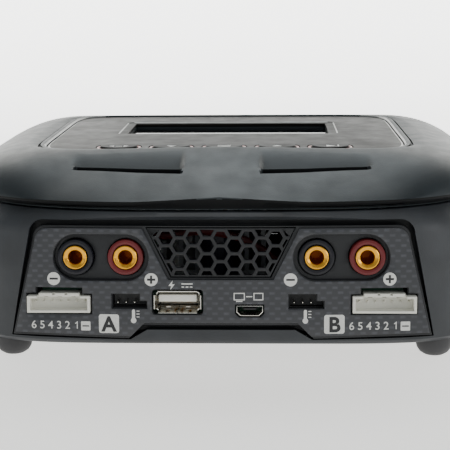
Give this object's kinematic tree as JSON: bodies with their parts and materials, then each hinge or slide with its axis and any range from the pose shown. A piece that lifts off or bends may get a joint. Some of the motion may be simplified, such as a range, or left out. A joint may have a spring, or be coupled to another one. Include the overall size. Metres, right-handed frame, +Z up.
{
  "type": "balance battery charger",
  "caption": "Two-channel balance charger for hobby battery packs: low rounded case with a display and keys on top and sockets, balance, sensor and USB ports in front.",
  "frame": {"origin": "on the table under the middle of the case, level with the undersides of the feet", "axes": "+Z up; -Y towards the user, out of the socket panel; +X to the user's right, along the width"},
  "size_m": [0.1718, 0.1578, 0.0628],
  "materials": {
    "housing": "fine textured black",
    "cover": "fine textured black with a grey sheen",
    "carbon_film": "printed woven pattern under a clear film",
    "gloss_black": "polished black",
    "lens": "polished, dark",
    "steel": "nickel plated",
    "gold": "gold plated",
    "red_plastic": "moulded red",
    "black_plastic": "moulded black",
    "nylon": "natural white nylon",
    "board": "glass epoxy with green solder mask",
    "rubber": "soft matt black",
    "light_red": "clear moulding lit red",
    "ferrite": "sintered grey-black",
    "winding": "enamelled copper wire",
    "can": "sleeved aluminium can",
    "heat_sink": "extruded"
  },
  "bodies": {
    "charger": {"ac_inlet": "black_plastic", "balance_port_a": "nylon", "balance_port_b": "nylon", "base_shell": "housing", "capacitor_mains": "can", "capacitor_output": "can", "case_screw_front_left": "steel", "case_screw_front_right": "steel", "case_screw_rear_left": "steel", "case_screw_rear_right": "steel", "connector_board": "board", "control_board": "board", "control_panel": "gloss_black", "dc_inlet_housing": "black_plastic", "dc_inlet_pin_negative": "gold", "dc_inlet_pin_positive": "gold", "display_frame": "steel", "display_glass": "lens", "display_window": "lens", "fan_frame": "black_plastic", "foot_front_left": "rubber", "foot_front_right": "rubber", "foot_rear_left": "rubber", "foot_rear_right": "rubber", "front_overlay": "carbon_film", "front_panel": "housing", "heat_sink": "heat_sink", "light_guide": "light_red", "main_board": "board", "micro_usb_shell": "steel", "micro_usb_tongue": "black_plastic", "output_lead": "red_plastic", "rear_panel": "housing", "socket_bushing_a_negative": "black_plastic", "socket_bushing_a_positive": "red_plastic", "socket_bushing_b_negative": "black_plastic", "socket_bushing_b_positive": "red_plastic", "socket_contact_a_negative": "gold", "socket_contact_a_positive": "gold", "socket_contact_b_negative": "gold", "socket_contact_b_positive": "gold", "switch_channel": "black_plastic", "switch_down": "black_plastic", "switch_enter": "black_plastic", "switch_menu": "black_plastic", "switch_up": "black_plastic", "temp_port_a": "black_plastic", "temp_port_b": "black_plastic", "top_cover": "cover", "transformer_core": "ferrite", "transformer_winding": "winding", "usb_port_shell": "steel", "usb_port_tongue": "nylon", "vent_grille": "housing"},
    "fan_rotor": {"fan_rotor": "black_plastic"},
    "button_channel": {"button_channel": "gloss_black"},
    "button_down": {"button_down": "gloss_black"},
    "button_menu": {"button_menu": "gloss_black"},
    "button_up": {"button_up": "gloss_black"},
    "button_enter": {"button_enter": "gloss_black"}
  },
  "joints": [
    {"name": "button_channel_press", "type": "slide", "parent": "charger", "child": "button_channel", "axis": [0, 0, -1], "range_m": [0, 0.0005], "stiffness_N_per_m": 600, "springref_m": -0.002},
    {"name": "button_down_press", "type": "slide", "parent": "charger", "child": "button_down", "axis": [0, 0, -1], "range_m": [0, 0.0005], "stiffness_N_per_m": 600, "springref_m": -0.002},
    {"name": "button_menu_press", "type": "slide", "parent": "charger", "child": "button_menu", "axis": [0, 0, -1], "range_m": [0, 0.0005], "stiffness_N_per_m": 600, "springref_m": -0.002},
    {"name": "button_up_press", "type": "slide", "parent": "charger", "child": "button_up", "axis": [0, 0, -1], "range_m": [0, 0.0005], "stiffness_N_per_m": 600, "springref_m": -0.002},
    {"name": "button_enter_press", "type": "slide", "parent": "charger", "child": "button_enter", "axis": [0, 0, -1], "range_m": [0, 0.0005], "stiffness_N_per_m": 600, "springref_m": -0.002},
    {"name": "fan_spin", "type": "hinge", "parent": "charger", "child": "fan_rotor", "pos_m": [-0.036, 0.063, 0.0275], "axis": [0, 1, 0], "continuous": true}
  ]
}
